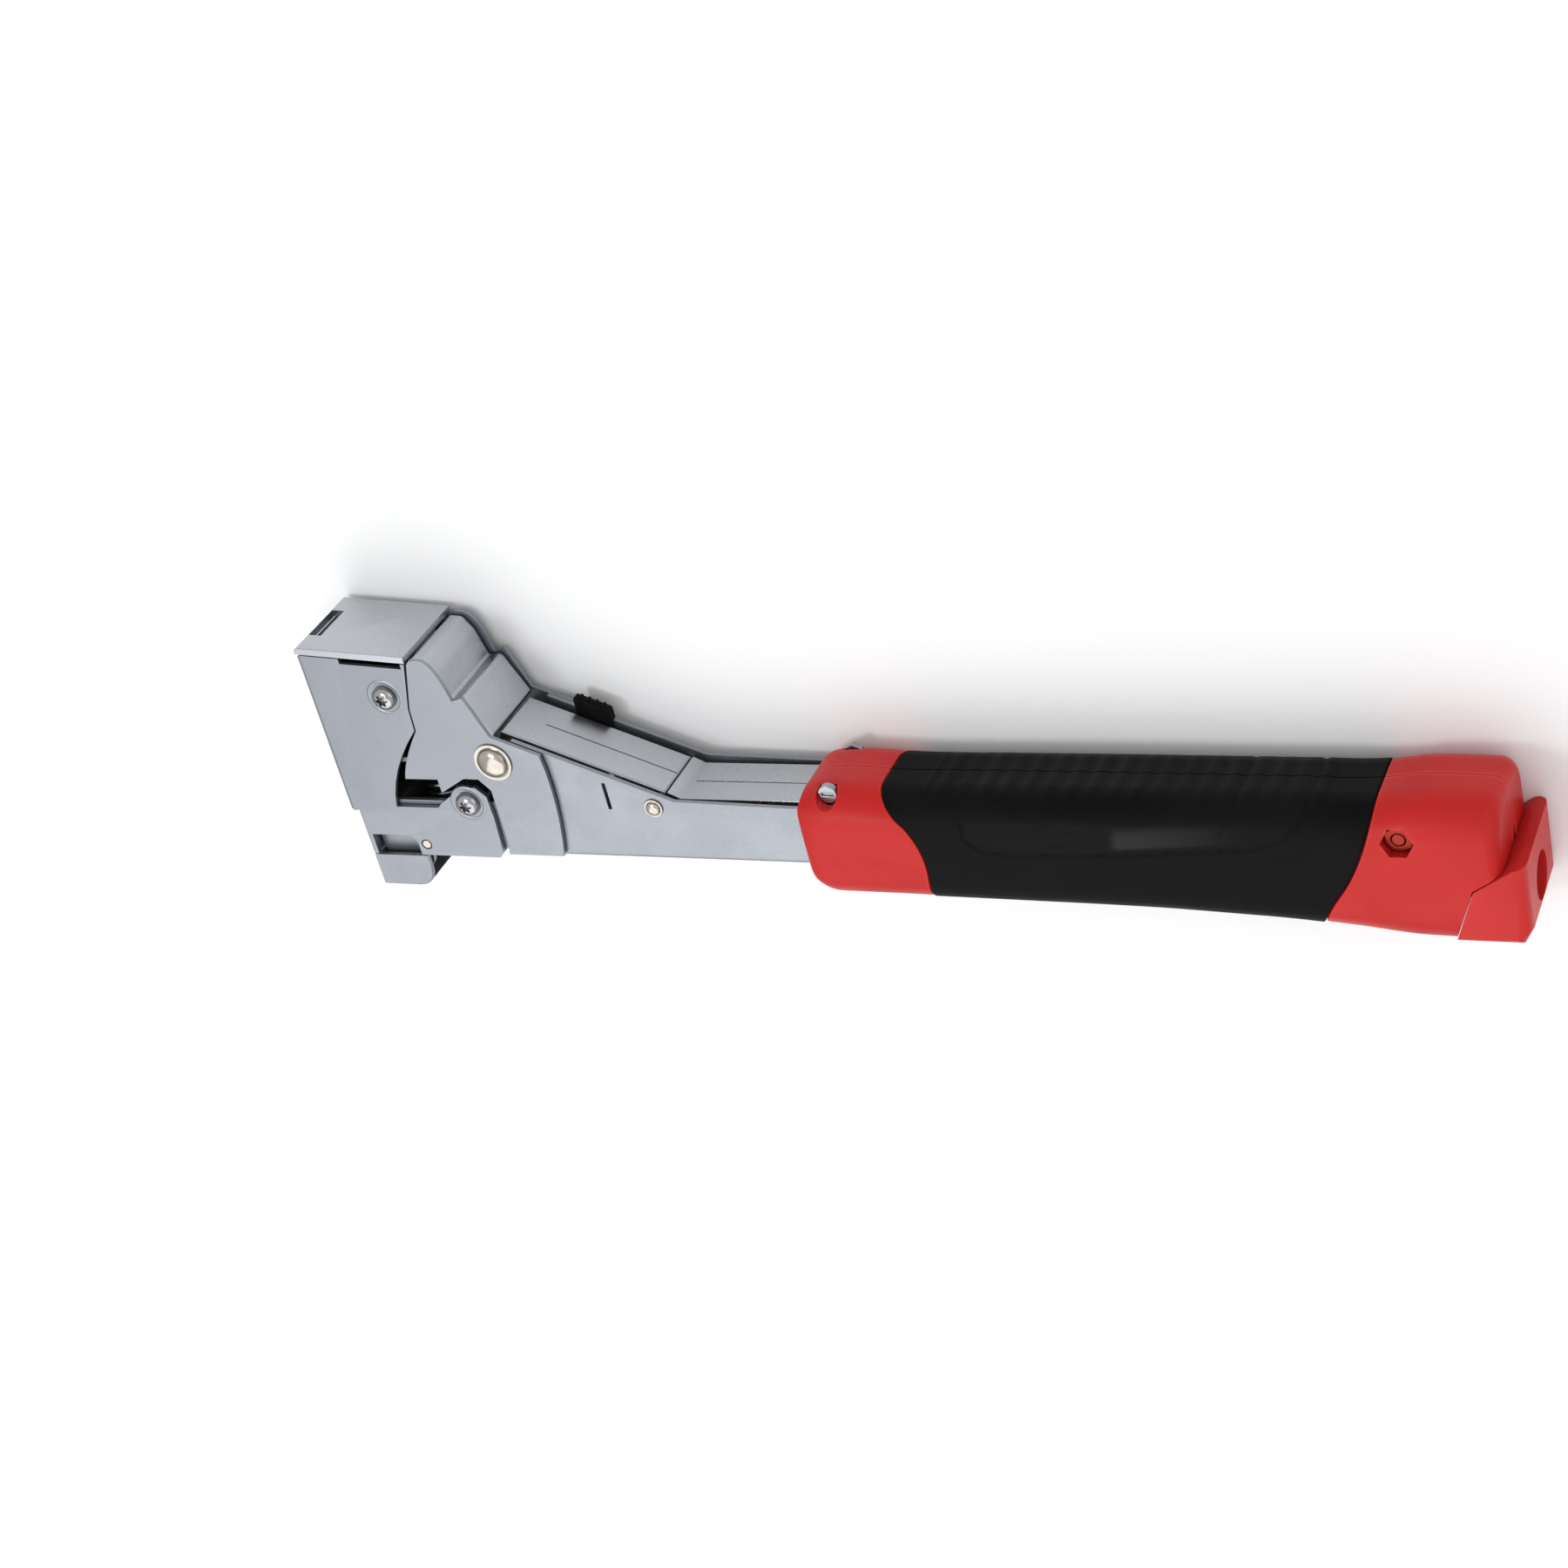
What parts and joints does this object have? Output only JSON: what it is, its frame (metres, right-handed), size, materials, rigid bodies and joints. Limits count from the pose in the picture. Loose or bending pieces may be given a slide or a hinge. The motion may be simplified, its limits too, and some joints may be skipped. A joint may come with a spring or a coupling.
{
  "type": "hammer tacker",
  "caption": "Hammer tacker staple gun: a sheet-steel head with a sprung nose and staple feed, on a steel channel handle with a two-part moulded grip.",
  "frame": {"origin": "centre of the bounding box's bottom face: the tool lies on its side, on the grip's side, the cross rivet's head and the star nuts", "axes": "+X along the tool from the nose to the rear of the grip, +Y from the back of the tool towards its strike face, +Z across its width, up"},
  "size_m": [0.295, 0.076, 0.029],
  "materials": {
    "zinc_steel": "bright zinc plated sheet steel",
    "dark_steel": "plain hardened steel, satin",
    "nickel": "polished nickel plate",
    "spring_steel": "drawn spring wire",
    "red_plastic": "fine moulded texture, satin",
    "black_rubber": "soft overmoulded grip rubber, satin"
  },
  "bodies": {
    "handle": {"handle_channel": "zinc_steel", "handle_core": "zinc_steel", "pivot_rivet": "nickel", "spring_base": "dark_steel", "driver_carrier": "dark_steel", "rubber_buffer": "black_rubber", "near_grip_shell": "red_plastic", "far_grip_shell": "red_plastic", "near_soft_cover": "black_rubber", "far_soft_cover": "black_rubber", "front_grip_screw": "dark_steel", "front_grip_nut": "dark_steel", "rear_grip_screw": "dark_steel", "rear_grip_nut": "dark_steel", "return_spring": "spring_steel"},
    "nose": {"nose_shell": "zinc_steel", "near_cover_plate": "zinc_steel", "far_cover_plate": "zinc_steel", "hood": "zinc_steel", "strike_plate": "zinc_steel", "neck_channel": "zinc_steel", "staple_rail": "dark_steel", "staple_strip": "nickel", "feed_wall": "dark_steel", "spring_bridge": "dark_steel", "cross_rivet": "nickel", "upper_star_screw": "nickel", "upper_star_nut": "nickel", "upper_spacer": "dark_steel", "lower_star_screw": "nickel", "lower_star_nut": "nickel", "lower_spacer": "dark_steel", "follower_spring": "spring_steel", "latch_pin": "nickel"},
    "follower": {"follower": "dark_steel"},
    "driver": {"driver_blade": "dark_steel"},
    "latch": {"release_latch": "zinc_steel"},
    "cap": {"end_cap": "red_plastic"}
  },
  "joints": [
    {"name": "nose_stroke", "type": "hinge", "parent": "handle", "child": "nose", "pos_m": [-0.0601, -0.00771, 0.0145], "axis": [0, 0, 1], "range_deg": [0, 7.8], "stiffness_Nm_per_rad": 8, "springref_deg": -17.19, "deforming": ["return_spring"]},
    {"name": "driver_travel", "type": "slide", "parent": "nose", "child": "driver", "axis": [0, 1, 0], "range_m": [0, 0.0116]},
    {"name": "follower_travel", "type": "slide", "parent": "nose", "child": "follower", "axis": [1, 0, 0], "range_m": [0, 0.005], "stiffness_N_per_m": 400, "springref_m": -0.01, "deforming": ["follower_spring"]},
    {"name": "latch_turn", "type": "hinge", "parent": "nose", "child": "latch", "pos_m": [-0.1279, -0.01991, 0.0145], "axis": [0, 0, 1], "range_deg": [0, 25], "stiffness_Nm_per_rad": 0.05, "springref_deg": -28.65},
    {"name": "cap_pull", "type": "slide", "parent": "handle", "child": "cap", "axis": [1, 0, 0], "range_m": [0, 0.022]}
  ],
  "couplings": [
    {"joint": "driver_travel", "follows": "nose_stroke", "m_per_rad": 0.084}
  ]
}
